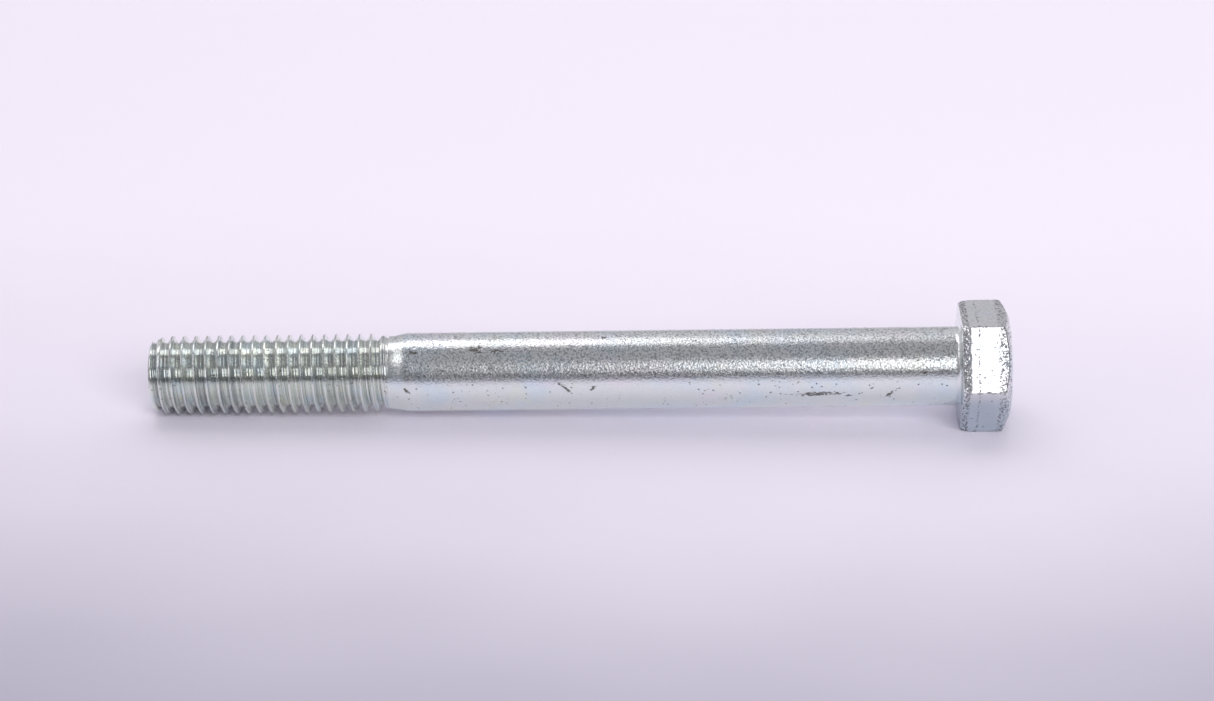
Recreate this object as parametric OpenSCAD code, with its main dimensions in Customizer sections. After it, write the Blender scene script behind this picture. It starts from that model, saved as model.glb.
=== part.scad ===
// Partly threaded hex bolt, M12 x 1.75 x 120, small hexagon.
// The bolt's axis is X. The head is at +X, the thread's point at -X, and the
// origin is the centre of the face that bears on the work. A flat of the
// hexagon faces down, and another up. Millimetres.

/* [Head] */
// Width across the flats of the hexagon
head_af = 17; // [14:0.1:19]
// Height of the head from its bearing face to its top
head_h = 7.35; // [5:0.05:10]
// Diameter of the flat circle that the chamfer leaves on the head's top
head_top_d = 14.4; // [11:0.1:16]
// Slope of the head's chamfer from the top face
head_chamfer_angle = 25; // [15:1:30]
// Radius of the fillet between the shank and the bearing face
fillet_r = 0.7; // [0.3:0.05:1]

/* [Shank] */
// Diameter of the plain shank
shank_d = 11.75; // [11.5:0.01:12]
// Length from the bearing face to the end of the point
length = 120; // [100:1:200]

/* [Thread] */
// Outside diameter of the thread
thread_d = 11.72; // [11.5:0.01:12]
// Distance from one thread crest to the next
pitch = 1.75; // [1.25:0.25:2]
// Length of the thread, its run-out included
thread_length = 35.6; // [20:0.1:60]
// Diameter of the blank that the thread is rolled into
blank_d = 10.92; // [10.5:0.01:11.2]
// Length over which the last thread fades into the blank
runout_length = 1.9; // [1:0.1:4]
// Length of the cone from the shank down to the blank
taper_length = 2.2; // [1:0.1:4]
// Angle about the axis that the thread has been turned by
thread_turn = 287; // [0:1:359]

/* [Point] */
// Diameter of the flat end of the point
point_d = 10.1; // [9:0.1:11]
// Length of the part of the chamfer with no thread on it
point_h = 0.6; // [0.3:0.1:1.2]
// Slope of the point's chamfer from the bolt's axis
point_angle = 22; // [15:1:45]

/* [Hidden] */
$fn = 96;

zinc = [0.74, 0.76, 0.79];
zinc_blue = [0.68, 0.72, 0.78];
zinc_dark = [0.60, 0.63, 0.66];

shank_r = shank_d / 2;
blank_r = blank_d / 2;
point_r = point_d / 2;
corner_r = head_af / sqrt(3);

// Shapes that cut another reach this far past it
spare = 1;
// Angle from a corner of the hexagon to the seam of a turned solid
seam_angle = 15;

// Places along the axis
tip_x = -length;
point_x = tip_x + point_h;
thread_end_x = tip_x + thread_length;
taper_x = thread_end_x + taper_length;
grip_x = -fillet_r;

// Outline of the fillet, from the shank at 0 degrees to the bearing face at 90
fillet_step = 15;
function fillet_point(angle) =
    [shank_r + fillet_r * (1 - cos(angle)), fillet_r * (sin(angle) - 1)];

// Thread form: a 60 degree ridge with a narrow flat crest and a narrow root
crest_r = thread_d / 2;
thread_depth = 0.613 * pitch;
crest_w = pitch / 8;
root_w = pitch - crest_w - 2 * thread_depth * tan(30);
steps = 36;
lines_per_turn = 4;
first_turn = -2;
turns = ceil((thread_end_x - point_x) / pitch) + 5;
line_count = turns * lines_per_turn;

// Distances of the four corners of the ridge from the middle of its crest
line_offsets = [-crest_w / 2, crest_w / 2, pitch / 2 - root_w / 2, pitch / 2 + root_w / 2];

function angle_of(step) = 360 * step / steps;
function helix_shift(angle) = pitch * (angle - thread_turn) / 360;
function smooth(t) = let (u = min(1, max(0, t))) u * u * (3 - 2 * u);

// Distance along the axis from the nearest crest, at a place on the thread
function from_crest(x, angle) =
    let (turn = (x - point_x - helix_shift(angle)) / pitch)
    abs(turn - round(turn)) * pitch;

// Radius of an endless thread, and of this one with its chamfer and run-out
function ridge_r(offset) =
    crest_r - thread_depth * min(1, max(0, (offset - crest_w / 2) / (thread_depth * tan(30))));
function chamfer_r(x) = point_r + (x - tip_x) * tan(point_angle);
function thread_r(x, offset) =
    let (full = smooth((thread_end_x - x) / runout_length))
    min(chamfer_r(x), blank_r + full * (ridge_r(offset) - blank_r));

// A line of the ridge at one step round the axis: its place, then its point
function line_x(line, step) =
    point_x + (floor(line / lines_per_turn) + first_turn) * pitch
    + line_offsets[line % lines_per_turn] + helix_shift(angle_of(step));
function at(x, r, angle) = [x, r * cos(angle), r * sin(angle)];
function line_point(line, step) =
    let (x = line_x(line, step))
    at(x, thread_r(x, from_crest(x, angle_of(step))), angle_of(step));
function end_point(x, step) = at(x, thread_r(x, from_crest(x, angle_of(step))), angle_of(step));

// Number of a point: a line beyond either end of the thread stops on that end
function number(line, step) =
    step == steps ? number(line + lines_per_turn, 0)
    : line_x(line, step) <= point_x ? line_count * steps + step
    : line_x(line, step) >= thread_end_x ? (line_count + 1) * steps + step
    : line * steps + step;

function has_area(face) = face[0] != face[1] && face[1] != face[2] && face[2] != face[0];

// Hexagonal prism along X with a flat facing down
module hex_prism(af, height) {
    rotate([0, 90, 0])
        rotate([0, 0, 30])
            cylinder(r = af / sqrt(3), h = height, $fn = 6);
}

// Solid turned about X, from an outline of [radius, place along X]. Its seam
// is kept away from the corners and the middles of the hexagon's flats.
module turned(outline) {
    rotate([seam_angle, 0, 0])
        rotate([90, 0, 90])
            rotate_extrude()
                polygon(outline);
}

module hex_head() {
    cone_r = corner_r + spare;
    cone_drop = (cone_r - head_top_d / 2) * tan(head_chamfer_angle);
    color(zinc_blue)
        intersection() {
            translate([-spare, 0, 0])
                hex_prism(head_af, head_h + 2 * spare);
            turned(concat(
                [[0, -fillet_r]],
                [for (angle = [0 : fillet_step : 90]) fillet_point(angle)],
                [[cone_r, 0], [cone_r, head_h - cone_drop], [head_top_d / 2, head_h], [0, head_h]]
            ));
        }
}

module shank() {
    color(zinc)
        translate([taper_x, 0, 0])
            rotate([0, 90, 0])
                cylinder(r = shank_r, h = grip_x - taper_x);
}

module neck_taper() {
    color(zinc_blue)
        translate([thread_end_x, 0, 0])
            rotate([0, 90, 0])
                cylinder(r1 = blank_r, r2 = shank_r, h = taper_length);
}

module thread() {
    points = [
        for (line = [0 : line_count - 1]) for (step = [0 : steps - 1]) line_point(line, step),
        for (step = [0 : steps - 1]) end_point(point_x, step),
        for (step = [0 : steps - 1]) end_point(thread_end_x, step)
    ];
    point_end = [for (step = [0 : steps - 1]) line_count * steps + step];
    shank_end = [for (step = [steps - 1 : -1 : 0]) (line_count + 1) * steps + step];
    sides = [
        for (line = [0 : line_count - lines_per_turn - 2]) for (step = [0 : steps - 1])
            let (a = number(line, step), b = number(line + 1, step))
            let (c = number(line + 1, step + 1), d = number(line, step + 1))
            each [[a, b, c], [a, c, d]]
    ];
    color(zinc_dark)
        polyhedron(points, concat([point_end, shank_end], [for (face = sides) if (has_area(face)) face]));
}

module point() {
    color(zinc)
        translate([tip_x, 0, 0])
            rotate([0, 90, 0])
                cylinder(r1 = point_r, r2 = chamfer_r(point_x), h = point_h);
}

hex_head();
shank();
neck_taper();
thread();
point();
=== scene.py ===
import math

import bpy
import numpy as np
from mathutils import Matrix, Vector, noise


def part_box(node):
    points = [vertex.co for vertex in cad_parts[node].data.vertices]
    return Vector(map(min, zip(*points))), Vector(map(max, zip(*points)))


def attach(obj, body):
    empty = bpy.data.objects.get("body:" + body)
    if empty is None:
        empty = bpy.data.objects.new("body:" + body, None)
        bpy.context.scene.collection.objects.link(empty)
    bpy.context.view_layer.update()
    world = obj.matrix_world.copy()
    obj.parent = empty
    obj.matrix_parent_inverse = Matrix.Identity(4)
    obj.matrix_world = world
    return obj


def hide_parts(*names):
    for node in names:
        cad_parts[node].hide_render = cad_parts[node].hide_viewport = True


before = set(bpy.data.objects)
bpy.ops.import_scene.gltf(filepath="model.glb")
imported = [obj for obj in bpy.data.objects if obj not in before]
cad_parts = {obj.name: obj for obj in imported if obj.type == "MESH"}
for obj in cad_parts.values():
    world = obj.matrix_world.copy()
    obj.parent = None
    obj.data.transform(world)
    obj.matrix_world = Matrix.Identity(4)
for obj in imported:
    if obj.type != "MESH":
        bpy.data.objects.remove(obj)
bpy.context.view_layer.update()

# Lengths are in millimetres until a mesh, light or camera is made, which is in metres.
MM = 0.001


def node_box(node):
    """Lowest and highest corner of a CAD node, in millimetres."""
    low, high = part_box(node)
    return low / MM, high / MM


HEAD_LOW, HEAD_HIGH = node_box("hex_head")
SHANK_LOW, SHANK_HIGH = node_box("shank")
NECK_LOW, NECK_HIGH = node_box("neck_taper")
THREAD_LOW, THREAD_HIGH = node_box("thread")
POINT_LOW = node_box("point")[0]

# Driving dimensions, read from the frame.
FLATS = HEAD_HIGH.z - HEAD_LOW.z
HEAD_H = HEAD_HIGH.x
FILLET_R = -HEAD_LOW.x
SHANK_R = SHANK_HIGH.z
TAPER_X = SHANK_LOW.x
THREAD_END = NECK_LOW.x
TIP_X = POINT_LOW.x
CREST_R = THREAD_HIGH.z

# Facts that the boxes don't hold: the thread's pitch, turn and blank, and the chamfers.
PITCH = 1.75
THREAD_TURN = math.radians(287)
BLANK_R = 5.46
HEAD_TOP_R = 7.2
HEAD_CHAMFER = math.radians(25)
POINT_R = 5.05
POINT_SLOPE = math.radians(22)

# View: a lens of about 90 mm on a 36 mm sensor, a little above and right of the bolt's middle.
AIM = Vector((-52.1, 0, 3.15))
AZIMUTH = math.radians(2.02)
ELEVATION = math.radians(24.6)
ROLL = math.radians(-1.52)
DISTANCE = 447.8
LENS = 89.5


# ---------------------------------------------------------------- mesh tools

def rough(points, size, seed):
    """Smooth noise from about -1 to 1 at each point, with features of that size."""
    shift = Vector((seed * 17.3, seed * 5.1, seed * 9.7))
    return np.array([noise.noise(Vector(p) / size + shift) for p in points])


def fractal(points, size, seed, octaves=3):
    """A sum of finer and finer noise."""
    total = np.zeros(len(points))
    for octave in range(octaves):
        total += rough(points, size / 2**octave, seed + octave) / 2**octave
    return total


def smooth(t):
    """From 0 to 1 with level ends, as t goes from 0 to 1."""
    t = np.clip(t, 0, 1)
    return t * t * (3 - 2 * t)


def soft_positive(value, width):
    """Zero below zero and value above it, with the corner rounded over that width."""
    return 0.5 * (value + np.sqrt(value * value + width * width))


def around_x(x, radius, angle):
    """Points at a place on the X axis, a radius and an angle from +Y towards +Z."""
    x, radius, angle = np.broadcast_arrays(x, radius, angle)
    return np.stack([x, radius * np.cos(angle), radius * np.sin(angle)], -1)


def make_piece(name, points, faces, flat_faces, material, marks=None):
    """A mesh object from points in millimetres. Its last flat_faces faces are flat ends with sharp rims."""
    mesh = bpy.data.meshes.new(name)
    mesh.from_pydata((np.asarray(points) * MM).tolist(), [], faces)
    shaded = np.ones(len(faces), bool)
    shaded[len(faces) - flat_faces:] = False
    mesh.polygons.foreach_set("use_smooth", shaded)
    rims = set()
    for face in faces[len(faces) - flat_faces:]:
        rims.update(tuple(sorted((face[i - 1], face[i]))) for i in range(len(face)))
    for edge in mesh.edges:
        edge.use_edge_sharp = tuple(sorted(edge.vertices)) in rims
    for key, values in (marks or {}).items():
        made = mesh.attributes.new(key, "FLOAT", "POINT")
        made.data.foreach_set("value", np.asarray(values, np.float32))
    mesh.materials.append(material)
    mesh.validate()
    mesh.update()
    piece = bpy.data.objects.new(name, mesh)
    bpy.context.scene.collection.objects.link(piece)
    return piece


def tube_faces(rows, columns):
    """Quads over a grid of rings about X, each ring closed on itself."""
    faces = []
    for row in range(rows - 1):
        for column in range(columns):
            beside = (column + 1) % columns
            below = row * columns
            above = below + columns
            faces.append((below + column, below + beside, above + beside, above + column))
    return faces


def closed_tube(name, rings, material, wear=None):
    """A closed solid from an array of rings, rows x columns x 3, with a flat fan on each end."""
    rows, columns = rings.shape[:2]
    points = rings.reshape(-1, 3)
    first_centre = len(points)
    centres = [rings[0].mean(0), rings[-1].mean(0)]
    faces = tube_faces(rows, columns)
    last = (rows - 1) * columns
    for column in range(columns):
        beside = (column + 1) % columns
        faces.append((first_centre, beside, column))
        faces.append((first_centre + 1, last + column, last + beside))
    marks = None if wear is None else {"wear": np.append(wear.ravel(), [0, 0])}
    return make_piece(name, np.vstack([points, centres]), faces, 2 * columns, material, marks)


# ---------------------------------------------------------------- head

# Angle from the middle of one face of the hexagon to the next, and half of the angle across its flat part.
SECTOR = math.radians(60)
HALF_FLAT = math.radians(28.7)
FACE_STEPS = 72
CORNER_STEPS = 12

# Rounding of the hexagon's corners, and the torn band beside the bearing face.
CORNER_ROUND = 0.2
BAND_W = 1.05
BAND_TAPER = 0.13
# Rounding of the outline's edges, in order from the bearing face, and the steps along its straight stretches.
EDGE_ROUND = 0.16
BAND_ROUND = 0.25
CHAMFER_ROUND = 0.3
TOP_ROUND = 0.5
STRAIGHT_STEPS = [8, 8, 30, 7, 16]
# Radius at which the rings stop, at the middle of the head's top.
TOP_CENTRE_R = 0.4

# The corners are rounded off towards the bearing face, up to this radius there and more above it.
CORNER_LIMIT_R = 9.3
CORNER_LIMIT_SLOPE = 0.62
# Where the faint streak round the head lies, and where the rubbed zone starts.
STREAK_X = 2.35
RUBBED_X = 4.7
# Depth of the slow waves on the head's sides and on the shank.
WAVE_DEPTH = 0.006


def head_angles():
    """Directions from each face's middle, close together at the corners, all the way round."""
    side = np.linspace(-HALF_FLAT, HALF_FLAT, FACE_STEPS)
    bend = np.linspace(HALF_FLAT, SECTOR - HALF_FLAT, CORNER_STEPS + 1)[1:-1]
    one_face = np.concatenate([side, bend])
    middles = SECTOR / 2 + np.arange(6) * SECTOR
    return (middles[:, None] + one_face[None, :]).ravel()


def off_middle(angle):
    """Angle from the middle of the face that lies in a direction."""
    return np.abs(np.mod(angle - math.radians(90) + SECTOR / 2, SECTOR) - SECTOR / 2)


def hexagon_r(angle):
    """Radius of a hexagon with a flat down and up, whose corners are rounded."""
    apothem = FLATS / 2
    turn = off_middle(angle)
    core = apothem - CORNER_ROUND
    centre_x, centre_y = core, core * math.tan(SECTOR / 2)
    along = centre_x * np.cos(turn) + centre_y * np.sin(turn)
    inside = np.maximum(along**2 - (centre_x**2 + centre_y**2) + CORNER_ROUND**2, 0)
    on_flat = apothem * np.tan(turn) <= centre_y
    return np.where(on_flat, apothem / np.cos(turn), along + np.sqrt(inside))


def bent_path(corners, rounds, spans, arc_steps=7):
    """Points along a line through corners, with each inner corner cut by a curve."""
    path = [corners[0]]
    for index in range(1, len(corners) - 1):
        before, here, after = corners[index - 1], corners[index], corners[index + 1]
        back = (before - here) / np.linalg.norm(before - here)
        forth = (after - here) / np.linalg.norm(after - here)
        start = here + back * rounds[index - 1]
        stop = here + forth * rounds[index - 1]
        path += list(np.linspace(path[-1], start, spans[index - 1] + 1)[1:])
        for t in np.linspace(0, 1, arc_steps)[1:]:
            path.append((1 - t) ** 2 * start + 2 * t * (1 - t) * here + t * t * stop)
    path += list(np.linspace(path[-1], corners[-1], spans[-1] + 1)[1:])
    return np.array(path)


def head_outline(side_r):
    """The head's outline in one direction, as (place along X, radius), from the fillet to the top."""
    turn = np.linspace(0, math.pi / 2, 8)
    fillet = np.stack([FILLET_R * (np.sin(turn) - 1), SHANK_R + FILLET_R * (1 - np.cos(turn))], -1)
    chamfer_x = HEAD_H - (side_r - HEAD_TOP_R) * math.tan(HEAD_CHAMFER)
    corners = np.array([
        [0, SHANK_R + FILLET_R],
        [0, side_r - BAND_TAPER],
        [BAND_W, side_r],
        [chamfer_x, side_r],
        [HEAD_H, HEAD_TOP_R],
        [HEAD_H, TOP_CENTRE_R],
    ])
    rounds = [EDGE_ROUND, BAND_ROUND, CHAMFER_ROUND, TOP_ROUND]
    return np.vstack([fillet[:-1], bent_path(corners, rounds, STRAIGHT_STEPS)])


def dent(points, centre, size, depth):
    """How far each point is pushed in by a shallow round dent."""
    away = np.linalg.norm(points - np.array(centre), axis=1) / size
    return depth * np.exp(-away * away)


def head_rings():
    """The head's surface and its wear: torn where the die trimmed it, nicked along its edges."""
    angles = head_angles()
    outline = np.array([head_outline(side_r) for side_r in hexagon_r(angles)])
    x = outline[:, :, 0].T
    radius = outline[:, :, 1].T
    points = around_x(x, radius, angles[None, :]).reshape(-1, 3)

    along_face = np.tan(off_middle(angles)) / math.tan(SECTOR / 2)
    near_corner = smooth((along_face - 0.93) / 0.06)[None, :]
    on_side = smooth((radius - HEAD_TOP_R - 0.2) / 0.5) * smooth(x / 0.1)
    torn = on_side * smooth((BAND_W + 0.2 - x) / 0.35)
    rubbed = on_side * smooth((x - RUBBED_X) / 0.9)
    streak = on_side * np.exp(-((x - STREAK_X) / 0.22) ** 2)

    limit = CORNER_LIMIT_R + CORNER_LIMIT_SLOPE * np.maximum(x, 0) + 0.8 * (x < 0)
    radius = np.minimum(radius, limit)
    wave = fractal(points, 6.0, 3).reshape(x.shape)
    tear = fractal(points, 0.5, 5).reshape(x.shape)
    nick = fractal(points, 0.6, 8).reshape(x.shape)
    pushed = on_side * (WAVE_DEPTH * (wave + 1))
    pushed += torn * 0.07 * np.clip(tear + 0.4, 0, 1.3)
    pushed += rubbed * 0.012 * np.clip(tear + 0.3, 0, 1.5)
    pushed += on_side * near_corner * 0.09 * np.clip(nick, 0, 1)
    wear = torn + 0.95 * near_corner * on_side + 0.95 * rubbed + streak
    return around_x(x, radius - pushed, angles[None, :]), np.clip(wear, 0, 1)


# ---------------------------------------------------------------- shank and neck

SHANK_COLUMNS = 168
SHANK_STEP = 0.32
NECK_ROWS = 24
DENT_COUNT = 46
# The swell from the blank to the shank starts this far along the neck, and is this long.
SWELL_START = 0.1
SWELL_LENGTH = 2.7


def body_radius(x):
    """Radius of the plain body: a smooth swell from the blank up to the full shank."""
    return BLANK_R + (SHANK_R - BLANK_R) * smooth((x - NECK_LOW.x - SWELL_START) / SWELL_LENGTH)


def turned_angles():
    """Directions of a turned piece's columns, as one row."""
    return (np.arange(SHANK_COLUMNS) * 2 * math.pi / SHANK_COLUMNS)[None, :]


def shank_rings():
    """The plain shank, with the shallow waves of a drawn bar and small handling dents."""
    rows = int((SHANK_HIGH.x - TAPER_X) / SHANK_STEP) + 1
    x = np.linspace(TAPER_X, SHANK_HIGH.x, rows)[:, None]
    angle = turned_angles()
    points = around_x(x, SHANK_R, angle).reshape(-1, 3)
    from_ends = smooth(np.minimum(x - TAPER_X, SHANK_HIGH.x - x) / 1.5)
    wave = fractal(points * np.array([0.35, 1, 1]), 4.0, 21, 2).reshape(rows, SHANK_COLUMNS)
    pushed = from_ends * WAVE_DEPTH * (wave + 1)
    chance = np.random.default_rng(7)
    for _ in range(DENT_COUNT):
        place_x = chance.uniform(TAPER_X + 2, SHANK_HIGH.x - 2)
        place = around_x(place_x, SHANK_R, chance.uniform(0, 2 * math.pi))
        size = chance.uniform(0.25, 0.6)
        pushed += dent(points, place, size, 0.05 * size).reshape(rows, SHANK_COLUMNS)
    return around_x(x, body_radius(x) - pushed, angle)


def neck_rings():
    """The neck from the shank down to the blank."""
    x = np.linspace(NECK_LOW.x, NECK_HIGH.x, NECK_ROWS)[:, None]
    return around_x(x, body_radius(x), turned_angles())


# ---------------------------------------------------------------- thread

THREAD_STEPS = 96
# Thread form: half the crest's width, the depth, and the rounding of the crest's edges and of the root.
CREST_HALF = 0.11
THREAD_DEPTH = 1.1
CREST_SOFT = 0.05
ROOT_SOFT = 0.26
# Seam that rolling leaves along the middle of the crest.
SEAM_DEPTH = 0.045
SEAM_W = 0.05
# Lengths over which the crests and the grooves fade out at the neck.
CREST_FADE = 2.6
GROOVE_FADE = 0.8
# Rounding of the point's rim.
POINT_RIM = 0.2
# Half of the places across one pitch, from the middle of the crest to the middle of the root.
PROFILE = [0.035, 0.07, 0.105, 0.14, 0.19, 0.29, 0.42, 0.55, 0.64, 0.72, 0.8]
# Rings across the end face, as fractions of its radius, and the depth and unevenness of its dish.
END_RINGS = [0.985, 0.95, 0.85, 0.7, 0.5, 0.3, 0.12]
DISH_DEPTH = 0.08
DISH_UNEVEN = 0.012
# Crests are worn down in patches, above this radius and by up to about this depth.
WORN_FROM_R = 5.3
WORN_DEPTH = 0.05


def ridge_depth(offset):
    """Depth of an endless thread below its crest, at a distance from the middle of the crest."""
    down = (offset - CREST_HALF) / math.tan(math.radians(30))
    return soft_positive(down, CREST_SOFT) - soft_positive(down - THREAD_DEPTH, ROOT_SOFT)


def chamfer_radius(x):
    """Radius of the point's chamfer, with its rim rounded."""
    inside = x - TIP_X
    short = np.clip(POINT_RIM - inside, 0, POINT_RIM)
    drop = POINT_RIM - np.sqrt(np.maximum(POINT_RIM**2 - short**2, 0))
    return POINT_R + inside * math.tan(POINT_SLOPE) - 0.6 * drop


def helix_shift(angle):
    """How far the helix has moved along X at an angle."""
    return PITCH * (angle - THREAD_TURN) / (2 * math.pi)


def crest_phase(x, angle):
    """Signed distance along X from the nearest crest."""
    turn = (x - THREAD_LOW.x - helix_shift(angle)) / PITCH
    return (turn - np.round(turn)) * PITCH


def thread_radius(x, angle):
    """The rolled thread, chamfered at the point and fading into the blank at the neck."""
    offset = crest_phase(x, angle)
    ridge = CREST_R - ridge_depth(np.abs(offset))
    from_end = THREAD_END - x
    open_seam = 0.25 + 0.75 * smooth(1 - from_end / 6) + 0.5 * smooth(1 - (x - TIP_X) / 3)
    seam = SEAM_DEPTH * np.exp(-(offset / SEAM_W) ** 2) * open_seam
    above = (ridge - seam - BLANK_R) * smooth((from_end - 0.3) / CREST_FADE)
    below = (ridge - BLANK_R) * smooth(from_end / GROOVE_FADE)
    radius = BLANK_R + np.where(ridge > BLANK_R, above, below)
    cone = chamfer_radius(x)
    return cone - soft_positive(cone - radius, 0.04)


def thread_mesh():
    """Points and faces of the thread: lines that follow the helix, stopped at the two end planes."""
    steps = THREAD_STEPS
    halves = [0] + PROFILE + [PITCH / 2] + [PITCH - place for place in reversed(PROFILE)]
    across = len(halves)
    low, high = TIP_X, THREAD_END
    first_turn, spare_turns = -3, 8
    turns = int((high - low) / PITCH) + spare_turns
    line = np.arange(turns * across)
    start = THREAD_LOW.x + (line // across + first_turn) * PITCH + np.array(halves)[line % across]
    angle = np.arange(steps) * 2 * math.pi / steps
    x = start[:, None] + helix_shift(angle)[None, :]
    grid_angle = np.broadcast_to(angle[None, :], x.shape)
    points = around_x(x, thread_radius(np.clip(x, low, high), grid_angle), grid_angle).reshape(-1, 3)
    low_ring = around_x(low, thread_radius(low, angle), angle)
    high_ring = around_x(high, thread_radius(high, angle), angle)

    count = len(points)
    number = np.arange(count).reshape(x.shape)
    # Points nearer than this to an end plane become the end ring's own points.
    near = 0.012
    number = np.where(x <= low + near, count + np.arange(steps)[None, :], number)
    number = np.where(x >= high - near, count + steps + np.arange(steps)[None, :], number)
    faces = []
    for row in range(len(line) - across - 1):
        for step in range(steps):
            wraps = step == steps - 1
            beside = 0 if wraps else step + 1
            lift = across if wraps else 0
            corners = [
                number[row, step],
                number[row + lift, beside],
                number[row + 1 + lift, beside],
                number[row + 1, step],
            ]
            kept = [int(c) for i, c in enumerate(corners) if c != corners[i - 1]]
            if len(set(kept)) == len(kept) and len(kept) > 2:
                faces.append(tuple(kept))
    return points, low_ring, high_ring, faces


def end_rings(low_ring):
    """Rings across the sheared, slightly dished end face, from just inside its rim to near its middle."""
    angle = np.arange(THREAD_STEPS) * 2 * math.pi / THREAD_STEPS
    rings = []
    for fraction in END_RINGS:
        ring = low_ring * np.array([1, fraction, fraction])
        uneven = rough(ring, 1.6, 31) * smooth(fraction / 0.6)
        dish = DISH_DEPTH * smooth((1 - fraction) / 0.12) + DISH_UNEVEN * uneven
        rings.append(around_x(TIP_X + dish, np.hypot(ring[:, 1], ring[:, 2]), angle))
    return rings


def worn_crests(points):
    """The thread's points with its crests rubbed down in patches."""
    on_crest = smooth((np.hypot(points[:, 1], points[:, 2]) - WORN_FROM_R) / 0.5)
    worn = WORN_DEPTH * np.clip(fractal(points, 0.9, 41, 2) - 0.12, 0, 1) * on_crest
    radial = points * np.array([0, 1, 1])
    length = np.maximum(np.linalg.norm(radial, axis=1, keepdims=True), 1e-6)
    return points - radial / length * worn[:, None]


def helix_marks(points):
    """Cosine and sine of the turn along the helix, for the material's lines, and none on the end face."""
    turn = 2 * math.pi * (points[:, 0] - THREAD_LOW.x) / PITCH - np.arctan2(points[:, 2], points[:, 1])
    on_end = (points[:, 0] < TIP_X + 0.1) & (np.hypot(points[:, 1], points[:, 2]) < POINT_R - 0.15)
    return {"helix_cos": np.cos(turn) * ~on_end, "helix_sin": np.sin(turn) * ~on_end}


def thread_piece(material):
    """The threaded end as one closed piece, from the end face to the flat joint with the neck."""
    points, low_ring, high_ring, faces = thread_mesh()
    steps = THREAD_STEPS
    rings = end_rings(low_ring)
    middles = np.array([[TIP_X + DISH_DEPTH, 0, 0], [THREAD_END, 0, 0]])
    everything = np.vstack([points, low_ring, high_ring, *rings, middles])

    outer = len(points)
    high = outer + steps
    inner = high + steps
    for _ in rings:
        for step in range(steps):
            beside = (step + 1) % steps
            faces.append((inner + step, inner + beside, outer + beside, outer + step))
        outer, inner = inner, inner + steps
    centre = inner
    for step in range(steps):
        faces.append((centre, outer + (step + 1) % steps, outer + step))
    for step in range(steps):
        faces.append((centre + 1, high + step, high + (step + 1) % steps))

    used = sorted({corner for face in faces for corner in face})
    renumber = {old: new for new, old in enumerate(used)}
    faces = [tuple(renumber[corner] for corner in face) for face in faces]
    kept = worn_crests(everything)[used]
    return make_piece("rolled_thread", kept, faces, steps, material, helix_marks(kept))


# ---------------------------------------------------------------- materials

class Shader:
    """Short calls for building one material's nodes."""

    def __init__(self, name):
        self.material = bpy.data.materials.new(name)
        self.material.use_nodes = True
        self.tree = self.material.node_tree
        self.tree.nodes.clear()
        self.output = self.tree.nodes.new("ShaderNodeOutputMaterial")
        self.surface = self.tree.nodes.new("ShaderNodeBsdfPrincipled")
        self.link(self.surface.outputs[0], self.output.inputs[0])
        self.place = self.tree.nodes.new("ShaderNodeTexCoord").outputs["Object"]

    def link(self, source, target):
        self.tree.links.new(source, target)

    def node(self, kind, **settings):
        made = self.tree.nodes.new(kind)
        for key, value in settings.items():
            setattr(made, key, value)
        return made

    def fill(self, socket, value):
        if isinstance(value, bpy.types.NodeSocket):
            self.link(value, socket)
        else:
            socket.default_value = value

    def math(self, operation, a, b=0.0, clamp=False):
        made = self.node("ShaderNodeMath", operation=operation, use_clamp=clamp)
        self.fill(made.inputs[0], a)
        self.fill(made.inputs[1], b)
        return made.outputs[0]

    def stretched(self, scale):
        made = self.node("ShaderNodeMapping")
        self.link(self.place, made.inputs["Vector"])
        made.inputs["Scale"].default_value = scale
        return made.outputs[0]

    def noise(self, size, detail=2.0, roughness=0.5, stretch=(1, 1, 1), distortion=0.0):
        """Noise whose features are about that many millimetres across."""
        made = self.node("ShaderNodeTexNoise")
        self.link(self.stretched(stretch), made.inputs["Vector"])
        made.inputs["Scale"].default_value = 1 / (size * MM)
        made.inputs["Detail"].default_value = detail
        made.inputs["Roughness"].default_value = roughness
        made.inputs["Distortion"].default_value = distortion
        return made

    def ranged(self, value, low, high, to_low=0.0, to_high=1.0):
        made = self.node("ShaderNodeMapRange", interpolation_type="SMOOTHSTEP")
        self.fill(made.inputs["Value"], value)
        made.inputs["From Min"].default_value = low
        made.inputs["From Max"].default_value = high
        made.inputs["To Min"].default_value = to_low
        made.inputs["To Max"].default_value = to_high
        return made.outputs[0]

    def mix(self, amount, a, b):
        made = self.node("ShaderNodeMix", data_type="RGBA")
        self.fill(made.inputs[0], amount)
        self.fill(made.inputs[6], a)
        self.fill(made.inputs[7], b)
        return made.outputs[2]

    def bump(self, height, depth, normal=None):
        """Relief of that many millimetres from a height of 0 to 1."""
        made = self.node("ShaderNodeBump")
        made.inputs["Strength"].default_value = 1.0
        made.inputs["Distance"].default_value = depth * MM
        self.link(height, made.inputs["Height"])
        if normal is not None:
            self.link(normal, made.inputs["Normal"])
        return made.outputs[0]

    def spot(self, x, angle, radius, length, width, lean):
        """A soft spot, from 0 outside to 1 at its middle, leaning by an angle in the X-Z plane."""
        made = self.node("ShaderNodeMapping", vector_type="TEXTURE")
        self.link(self.place, made.inputs["Vector"])
        turn = math.radians(angle)
        centre = Vector((x, -radius * math.cos(turn), radius * math.sin(turn)))
        made.inputs["Location"].default_value = centre * MM
        made.inputs["Rotation"].default_value[1] = -math.radians(lean)
        made.inputs["Scale"].default_value = Vector((length, 2 * width, width)) * MM
        ball = self.node("ShaderNodeTexGradient", gradient_type="SPHERICAL")
        self.link(made.outputs[0], ball.inputs["Vector"])
        return ball.outputs["Fac"]


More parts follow.
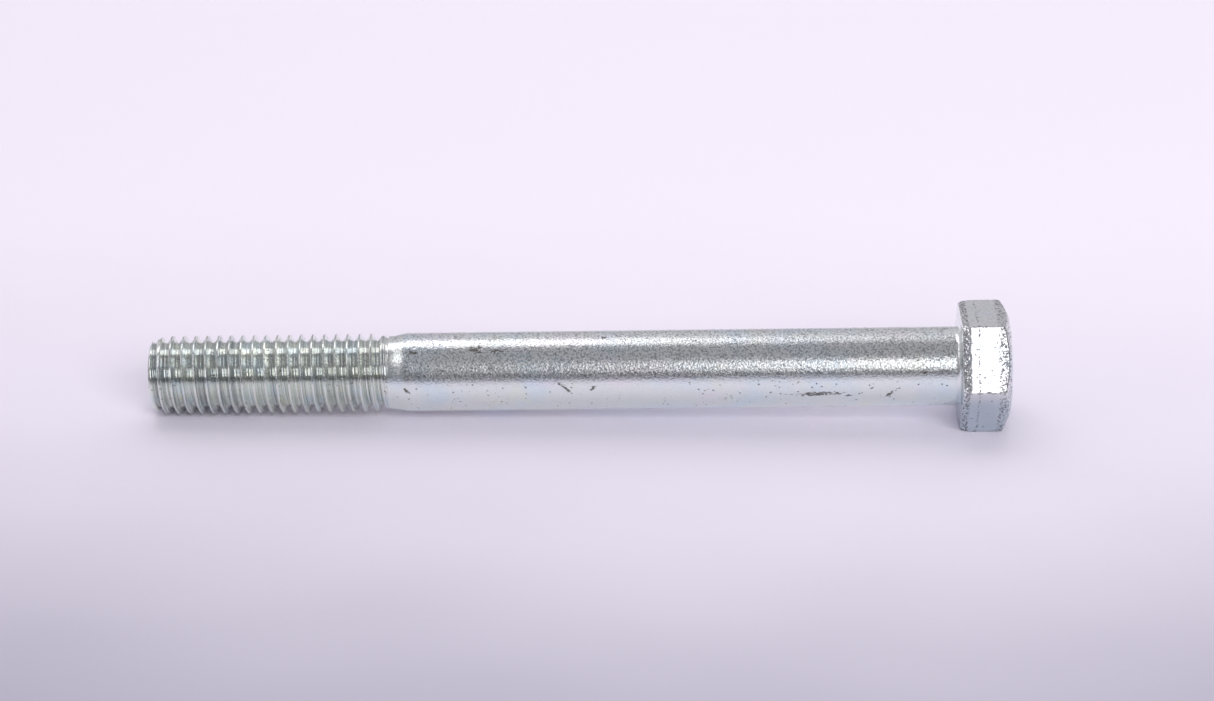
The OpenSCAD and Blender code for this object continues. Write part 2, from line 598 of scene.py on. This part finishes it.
# Clear passivate over zinc: a main colour, then fainter patches of three others.
SHANK_COLOURS = (0.84, 0.905, 0.85, 1), (0.77, 0.89, 0.91, 1), (0.93, 0.87, 0.89, 1), (0.86, 0.91, 0.77, 1)
HEAD_COLOURS = (0.86, 0.895, 0.87, 1), (0.80, 0.88, 0.90, 1), (0.90, 0.87, 0.89, 1), (0.83, 0.90, 0.84, 1)
THREAD_COLOURS = (0.80, 0.85, 0.77, 1), (0.75, 0.84, 0.83, 1), (0.82, 0.83, 0.79, 1), (0.81, 0.86, 0.68, 1)
GRIME = (0.075, 0.062, 0.045, 1)
PIT = (0.20, 0.20, 0.21, 1)
# Crystal colours: the real grain, and also painted sparkle on the top side; the dark one also colours the
# thread's helix lines.
GRAIN_DARK = (0.38, 0.41, 0.43, 1)
GRAIN_AND_GLINT_BRIGHT = (1, 1, 1, 1)
# Painted shade for the head's lower faces.
PAINTED_SHADE_BLUE = (0.44, 0.55, 0.62, 1)

# Sizes and depths of the fine marks.
GRAIN_SIZE = 0.3
PIT_SPACING = 0.65
PIT_DEPTH = 0.05
LINE_DEPTH = 0.14

# Cloth in front of the bolt, beside it and behind it: painted light falloff, darker in front and paler
# behind.
CLOTH_PAINTED_FALLOFF = (0.45, 0.43, 0.515, 1), (0.84, 0.795, 0.905, 1), (0.97, 0.91, 1.0, 1)

# Scuffs on the shank: place along X, angle up from the near side, length, width and lean.
SCUFFS = [
    (-71.5, 57, 1.8, 0.7, 0),
    (-68.0, 55, 1.7, 0.5, 0),
    (-80.5, 54, 1.2, 0.45, 0),
    (-81.5, -4, 0.9, 0.45, -40),
    (-58.5, 1, 2.6, 0.28, -42),
    (-54.0, -2, 0.9, 0.4, 35),
    (-21.0, -17, 5.0, 0.6, 2),
    (-16.5, -20, 0.7, 0.4, 0),
    (-10.5, -18, 1.9, 0.35, 43),
    (-52.5, 78, 0.6, 0.35, 0),
    (-5.5, 16, 1.2, 0.6, 0),
]


def passivate(s, colours, size):
    """A faint rainbow: the first colour, with smaller and smaller patches of the other three."""
    patches = s.noise(size, 2).outputs[0]
    colour = s.mix(s.ranged(patches, 0.42, 0.66), colours[0], colours[1])
    patches = s.noise(size * 0.7, 2, stretch=(0.6, 1.3, 1.3)).outputs[0]
    colour = s.mix(s.ranged(patches, 0.52, 0.72, 0, 0.55), colour, colours[2])
    patches = s.noise(size * 0.45, 3, distortion=0.6).outputs[0]
    return s.mix(s.ranged(patches, 0.54, 0.74, 0, 0.6), colour, colours[3])


def grain_with_painted_sparkle(s, colour, height, amount):
    """Dark and bright crystals of the zinc's grain, with painted sparkle: full on the bolt's top side, where
    the light falls, and faint below.
    """
    # Painted sparkle: the crystals' contrast is full on the top side, where the light falls, and faint below.
    sparkle_on_top = s.ranged(height, 0.8 * MM, 1.3 * MM, 0.1, 1)
    crystals = s.noise(GRAIN_SIZE, 2, 0.65).outputs[0]
    dark = s.math("MULTIPLY", s.ranged(crystals, 0.5, 0.38, 0, amount), sparkle_on_top)
    bright = s.math("MULTIPLY", s.ranged(crystals, 0.51, 0.62, 0, amount), sparkle_on_top)
    return s.mix(bright, s.mix(dark, colour, GRAIN_DARK), GRAIN_AND_GLINT_BRIGHT)


def helix_lines(s, along):
    """Noise drawn out into fine lines that follow the thread's helix."""
    around = s.node("ShaderNodeCombineXYZ")
    for axis, key in enumerate(("helix_cos", "helix_sin")):
        s.link(s.node("ShaderNodeAttribute", attribute_name=key).outputs["Fac"], around.inputs[axis])
    s.link(s.math("MULTIPLY", along, 0.25 / MM), around.inputs[2])
    lines = s.node("ShaderNodeTexNoise")
    s.link(around.outputs[0], lines.inputs["Vector"])
    lines.inputs["Scale"].default_value = 1.1
    lines.inputs["Detail"].default_value = 2.0
    return lines.outputs[0]


def pit_mask(s):
    """Small scattered pits, and grit wherever the piece is marked as worn."""
    ragged = s.noise(0.12, 2).outputs[0]
    cells = s.node("ShaderNodeTexVoronoi", feature="F1")
    s.link(s.stretched((0.7, 1, 1)), cells.inputs["Vector"])
    cells.inputs["Scale"].default_value = 1 / (PIT_SPACING * MM)
    where = s.ranged(s.noise(2.2, 3).outputs[0], 0.46, 0.57)
    reach = s.math("ADD", cells.outputs["Distance"], s.math("MULTIPLY", ragged, 0.25))
    pits = s.math("MULTIPLY", s.ranged(reach, 0.25, 0.33, 1, 0), where)
    wear = s.node("ShaderNodeAttribute", attribute_name="wear").outputs["Fac"]
    grit = s.math("ADD", s.noise(0.32, 3, 0.7).outputs[0], s.math("MULTIPLY", wear, 0.2))
    return s.math("MAXIMUM", pits, s.ranged(grit, 0.70, 0.76))


def scuff_mask(s, scuffs):
    """Short broken smudges at the listed places."""
    marks = 0.0
    for x, angle, length, width, lean in scuffs:
        marks = s.math("MAXIMUM", marks, s.spot(x, angle, SHANK_R, length, width, lean))
    torn = s.noise(0.24, 3, 0.6, stretch=(0.5, 1, 1)).outputs[0]
    broken = s.math("ADD", marks, s.math("MULTIPLY", torn, 3.0))
    return s.math("MULTIPLY", s.ranged(broken, 1.92, 2.2), s.ranged(marks, 0.02, 0.25))


def zinc(name, colours, grain, tint_size, gloss, speckle, scuffs=(), rolled=False, shaded=False):
    """Bright zinc plate: fine crystalline grain, a faint rainbow passivate, pits and rubbed-in dirt.

    grain is the depth of the fine relief, tint_size the size of the passivate's patches, gloss the least
    roughness, and speckle the strength of the crystals' colour, which is painted sparkle on the top side. A
    rolled surface has lines along the helix, and a shaded one gets painted shade: darker and bluer low down.
    """
    s = Shader(name)
    split = s.node("ShaderNodeSeparateXYZ")
    s.link(s.place, split.inputs[0])
    along, _, height = split.outputs
    colour = grain_with_painted_sparkle(s, passivate(s, colours, tint_size), height, speckle)
    relief = s.bump(s.noise(0.32, 3, 0.62).outputs[0], grain)
    relief = s.bump(s.noise(1.3, 2).outputs[0], 0.005, relief)
    if shaded:
        # Painted shade: the lower side is mixed darker and bluer.
        low = s.ranged(height, 0.4 * MM, -3 * MM, 0, 0.62)
        colour = s.mix(low, colour, PAINTED_SHADE_BLUE)
    if rolled:
        lines = helix_lines(s, along)
        colour = s.mix(s.ranged(lines, 0.48, 0.38, 0, 0.6), colour, GRAIN_DARK)
        relief = s.bump(lines, LINE_DEPTH, relief)

    dirt = pit_mask(s)
    colour = s.mix(s.math("MULTIPLY", dirt, 0.8), colour, PIT)
    if scuffs:
        smudges = scuff_mask(s, scuffs)
        colour = s.mix(s.math("MULTIPLY", smudges, 0.82), colour, GRIME)
        dirt = s.math("MAXIMUM", dirt, smudges)
    relief = s.bump(s.math("SUBTRACT", 1.0, dirt), PIT_DEPTH, relief)

    sheen = s.ranged(s.noise(1.4, 4, 0.6).outputs[0], 0.3, 0.7, gloss, gloss + 0.08)
    roughness = s.math("ADD", sheen, s.math("MULTIPLY", dirt, 0.3), clamp=True)
    s.link(colour, s.surface.inputs["Base Color"])
    s.link(roughness, s.surface.inputs["Roughness"])
    s.link(relief, s.surface.inputs["Normal"])
    s.surface.inputs["Metallic"].default_value = 1.0
    return s.material


def floor_material():
    """Matt lilac-white cloth with the faintest weave and slack, its colour graded as painted light falloff:
    darker in front and paler towards the back.
    """
    s = Shader("pale_cloth")
    split = s.node("ShaderNodeSeparateXYZ")
    s.link(s.place, split.inputs[0])
    slack = s.noise(45, 2, stretch=(0.6, 1, 1)).outputs[0]
    drift = s.math("MULTIPLY", s.math("SUBTRACT", slack, 0.5), 0.03)
    # Painted light falloff: darker towards the front and paler towards the back, tilted a little with x and
    # shifted by the slack.
    near = s.math("ADD", split.outputs[1], s.math("MULTIPLY", split.outputs[0], 0.15))
    near = s.math("SUBTRACT", near, s.ranged(split.outputs[0], -0.02, 0.05, 0, 0.025))
    near = s.ranged(s.math("ADD", near, drift), -0.125, -0.015)
    far = s.ranged(s.math("ADD", split.outputs[1], drift), -0.02, 0.09)
    colour = s.mix(near, CLOTH_PAINTED_FALLOFF[0], CLOTH_PAINTED_FALLOFF[1])
    s.link(s.mix(far, colour, CLOTH_PAINTED_FALLOFF[2]), s.surface.inputs["Base Color"])
    s.surface.inputs["Roughness"].default_value = 0.95
    s.surface.inputs["Specular IOR Level"].default_value = 0.1
    relief = s.bump(slack, 0.8)
    s.link(s.bump(s.noise(0.6, 2).outputs[0], 0.03, relief), s.surface.inputs["Normal"])
    return s.material


# ---------------------------------------------------------------- stage, lights and camera

# How far from the tip the first full crest touches the cloth, and how far the cloth reaches, in metres.
FIRST_CREST = 2.2
CLOTH_SIDE = 1.6
CLOTH_NEAR = -0.9
CLOTH_FAR = 1.8


def make_floor():
    """A plain cloth under the bolt, which rests on the head's flat and on the thread's end."""
    rest_x = TIP_X + FIRST_CREST
    tilt = (FLATS / 2 - CREST_R) / -rest_x
    mesh = bpy.data.meshes.new("floor_cloth")
    side, near, far = CLOTH_SIDE, CLOTH_NEAR, CLOTH_FAR
    plan = [(-side, near), (side, near), (side, far), (-side, far)]
    corners = [(x, y, -FLATS / 2 * MM - x * tilt) for x, y in plan]
    mesh.from_pydata(corners, [], [(0, 1, 2, 3)])
    mesh.materials.append(floor_material())
    floor = bpy.data.objects.new("floor_cloth", mesh)
    bpy.context.scene.collection.objects.link(floor)


def make_softbox(name, centre, size, radiance, lights):
    """A rectangular softbox, size in metres, over the bolt, that lights the metal or the floor alone."""
    light = bpy.data.lights.new(name, "AREA")
    light.shape = "RECTANGLE"
    light.size, light.size_y = size
    light.energy = radiance * math.pi * size[0] * size[1]
    light.color = (1, 0.955, 1) if lights == "metal" else (1, 1, 0.99)
    lamp = bpy.data.objects.new(name, light)
    bpy.context.scene.collection.objects.link(lamp)
    lamp.location = centre
    facing = Vector((0, -centre.y, -centre.z))
    lamp.rotation_euler = facing.to_track_quat("-Z", "Y").to_euler()
    lamp.visible_glossy = lights == "metal"
    lamp.visible_diffuse = lights == "floor"
    return lamp


def around_view(elevation, distance, x):
    """A place at an elevation from the front horizon, over the top, to the back."""
    turn = math.radians(elevation)
    return Vector((x, -distance * math.cos(turn), distance * math.sin(turn)))


def make_world():
    """A dim studio: dark low in front, brighter overhead, and pale behind and to the left."""
    world = bpy.data.worlds.new("studio")
    bpy.context.scene.world = world
    world.use_nodes = True
    tree = world.node_tree
    tree.nodes.clear()
    output = tree.nodes.new("ShaderNodeOutputWorld")
    background = tree.nodes.new("ShaderNodeBackground")
    tree.links.new(background.outputs[0], output.inputs[0])
    direction = tree.nodes.new("ShaderNodeTexCoord").outputs["Generated"]
    split = tree.nodes.new("ShaderNodeSeparateXYZ")
    tree.links.new(direction, split.inputs[0])

    def ranged(value, low, high, to_low, to_high):
        made = tree.nodes.new("ShaderNodeMapRange")
        made.interpolation_type = "SMOOTHSTEP"
        tree.links.new(value, made.inputs["Value"])
        for key, number in zip(("From Min", "From Max", "To Min", "To Max"), (low, high, to_low, to_high)):
            made.inputs[key].default_value = number
        return made.outputs[0]

    def join(operation, a, b):
        made = tree.nodes.new("ShaderNodeMath")
        made.operation = operation
        tree.links.new(a, made.inputs[0])
        tree.links.new(b, made.inputs[1])
        return made.outputs[0]

    height = ranged(split.outputs[2], 0.1, 0.75, 0.19, 0.345)
    behind = ranged(split.outputs[1], 0.2, 0.8, 0.0, 0.285)
    left = ranged(split.outputs[0], -0.3, -0.65, 0.0, 0.25)
    above = ranged(split.outputs[2], 0.0, 0.3, 0.0, 1.0)
    strength = join("ADD", join("ADD", height, behind), join("MULTIPLY", left, above))
    tree.links.new(strength, background.inputs["Strength"])
    background.inputs["Color"].default_value = (1.0, 0.965, 1.06, 1)


def make_camera():
    camera_data = bpy.data.cameras.new("camera")
    camera_data.lens = LENS
    camera_data.sensor_width = 36
    camera_data.dof.use_dof = False
    camera = bpy.data.objects.new("camera", camera_data)
    bpy.context.scene.collection.objects.link(camera)
    back = Vector((
        math.sin(AZIMUTH) * math.cos(ELEVATION),
        -math.cos(AZIMUTH) * math.cos(ELEVATION),
        math.sin(ELEVATION),
    ))
    level = back.to_track_quat("Z", "Y").to_matrix().to_4x4()
    camera.matrix_world = (
        Matrix.Translation((AIM + back * DISTANCE) * MM) @ level @ Matrix.Rotation(ROLL, 4, "Z")
    )
    bpy.context.scene.camera = camera


make_camera()
make_floor()
make_world()
make_softbox("back_softbox", around_view(115, 0.75, -0.40), (0.72, 0.32), 1.34, "metal")
make_softbox("back_strip", around_view(115, 0.75, 0.32), (0.70, 0.32), 0.2, "metal")
make_softbox("front_softbox", around_view(32, 0.95, 0.40), (0.80, 0.46), 1.5, "metal")
make_softbox("left_top_softbox", around_view(72, 0.80, -0.62), (0.36, 0.50), 1.0, "metal")
make_softbox("overhead_key", around_view(112, 0.9, -0.12), (0.7, 0.6), 1.2, "floor")
make_softbox("front_fill", around_view(35, 0.9, 0.28), (0.8, 0.45), 5.35, "floor")
make_softbox("back_fill", around_view(144, 0.8, 0.0), (1.3, 0.5), 0.72, "floor")
bpy.context.scene.view_settings.view_transform = "Standard"

# The head's lower faces get painted shade.
head_zinc = zinc(
    "zinc_head", HEAD_COLOURS, grain=0.02, tint_size=6.0, gloss=0.13, speckle=0.2, shaded=True
)
shank_zinc = zinc(
    "zinc_shank", SHANK_COLOURS, grain=0.04, tint_size=9.0, gloss=0.12, speckle=0.8, scuffs=SCUFFS
)
neck_zinc = zinc(
    "zinc_neck", SHANK_COLOURS, grain=0.04, tint_size=6.0, gloss=0.12, speckle=0.5
)
thread_zinc = zinc(
    "zinc_thread", THREAD_COLOURS, grain=0.012, tint_size=3.0, gloss=0.07, speckle=0.4, rolled=True
)

head_surface, head_wear = head_rings()
PIECES = [
    (closed_tube("forged_head", head_surface, head_zinc, head_wear), "zinc_plate", ["hex_head"]),
    (closed_tube("drawn_shank", shank_rings(), shank_zinc), "zinc_plate", ["shank"]),
    (closed_tube("reduced_neck", neck_rings(), neck_zinc), "zinc_plate", ["neck_taper"]),
    (thread_piece(thread_zinc), "zinc_thread", ["thread", "point"]),
]
for piece, slot, nodes in PIECES:
    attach(piece, "root")
    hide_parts(*nodes)
